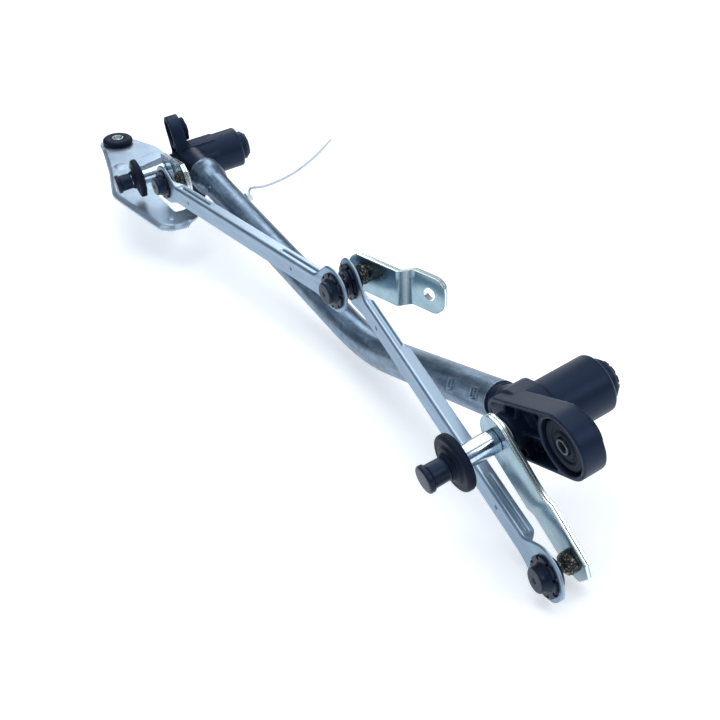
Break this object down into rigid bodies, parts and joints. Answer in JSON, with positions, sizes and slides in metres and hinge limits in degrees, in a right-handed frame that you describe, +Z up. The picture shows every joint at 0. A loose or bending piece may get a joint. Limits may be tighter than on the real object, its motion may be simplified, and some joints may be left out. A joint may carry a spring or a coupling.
{
  "type": "windshield wiper linkage",
  "caption": "Windshield wiper linkage: bent tube frame with a bearing housing at each end, spindles, levers, ball-jointed rods and a loose motor crank.",
  "frame": {"origin": "centre of the right spindle cap's end face", "axes": "+X from the left spindle towards the right one, +Y along the right spindle away from the wiper arm, +Z up"},
  "size_m": [0.7929, 0.1356, 0.1594],
  "materials": {
    "galvanised_steel": "streaky galvanised",
    "rod_steel": "satin plated",
    "zinc_plate": "zinc plated",
    "bright_steel": "polished",
    "greased_steel": "rough, greased",
    "bearing_bronze": "sintered",
    "moulded_black": "satin",
    "nylon_black": "satin",
    "nylon_pale": "satin",
    "rubber_black": "matte"
  },
  "bodies": {
    "frame": {"cross_tube": "galvanised_steel", "right_housing": "moulded_black", "left_housing": "moulded_black", "right_eye_grommet": "rubber_black", "right_eye_sleeve": "zinc_plate", "left_eye_grommet": "rubber_black", "left_eye_sleeve": "zinc_plate", "bracket_plate": "zinc_plate", "bracket_grommet": "rubber_black", "bracket_sleeve": "zinc_plate", "bracket_rivet_1": "zinc_plate", "bracket_rivet_2": "zinc_plate", "right_front_washer": "nylon_pale", "right_front_bush": "bearing_bronze", "right_rear_bush": "bearing_bronze", "right_rear_washer": "zinc_plate", "left_front_washer": "nylon_pale", "left_front_bush": "bearing_bronze", "left_rear_bush": "bearing_bronze", "left_rear_washer": "zinc_plate", "cable_tie": "nylon_pale"},
    "right_shaft": {"right_spindle": "bright_steel", "right_seal_disc": "rubber_black", "right_cap": "nylon_black", "right_retaining_ring": "bright_steel", "right_lever": "zinc_plate", "right_ball_stud": "greased_steel"},
    "left_shaft": {"left_spindle": "bright_steel", "left_seal_disc": "rubber_black", "left_cap": "nylon_black", "left_retaining_ring": "bright_steel", "left_lever": "zinc_plate", "left_ball_stud": "greased_steel"},
    "rod_b_body": {"rod_b": "rod_steel", "rod_b_left_socket": "nylon_black", "rod_b_right_socket": "nylon_black"},
    "rod_a_body": {"rod_a": "rod_steel", "rod_a_left_socket": "nylon_black", "rod_a_right_socket": "nylon_black"},
    "crank": {"crank_arm": "zinc_plate", "crank_ball_pin": "greased_steel"}
  },
  "joints": [
    {"name": "right_spindle_turn", "type": "hinge", "parent": "frame", "child": "right_shaft", "pos_m": [0, 0.0488, 0], "axis": [0, -1, 0], "range_deg": [-27, 7]},
    {"name": "left_spindle_turn", "type": "hinge", "parent": "frame", "child": "left_shaft", "pos_m": [-0.5587, 0.0488, 0], "axis": [-0.113, -0.9918, 0.0593], "range_deg": [-2, 6]},
    {"name": "rod_b_swing", "type": "hinge", "parent": "right_shaft", "child": "rod_b_body", "pos_m": [0.05774, 0.0348, -0.05537], "axis": [0, -1, 0], "range_deg": [-4, 13]},
    {"name": "rod_a_swing", "type": "hinge", "parent": "rod_b_body", "child": "rod_a_body", "pos_m": [-0.18188, 0.04632, 0.02601], "axis": [0, -1, 0], "range_deg": [-6, 21]},
    {"name": "crank_turn", "type": "hinge", "parent": "rod_b_body", "child": "crank", "pos_m": [-0.18717, 0.06125, 0.02378], "axis": [0.3306, -0.9335, 0.1391], "range_deg": [-25, 200]}
  ],
  "couplings": [
    {"joint": "left_spindle_turn", "follows": "right_spindle_turn", "ratio": -0.194},
    {"joint": "rod_b_swing", "follows": "right_spindle_turn", "ratio": -0.461},
    {"joint": "rod_a_swing", "follows": "right_spindle_turn", "ratio": -0.748}
  ]
}
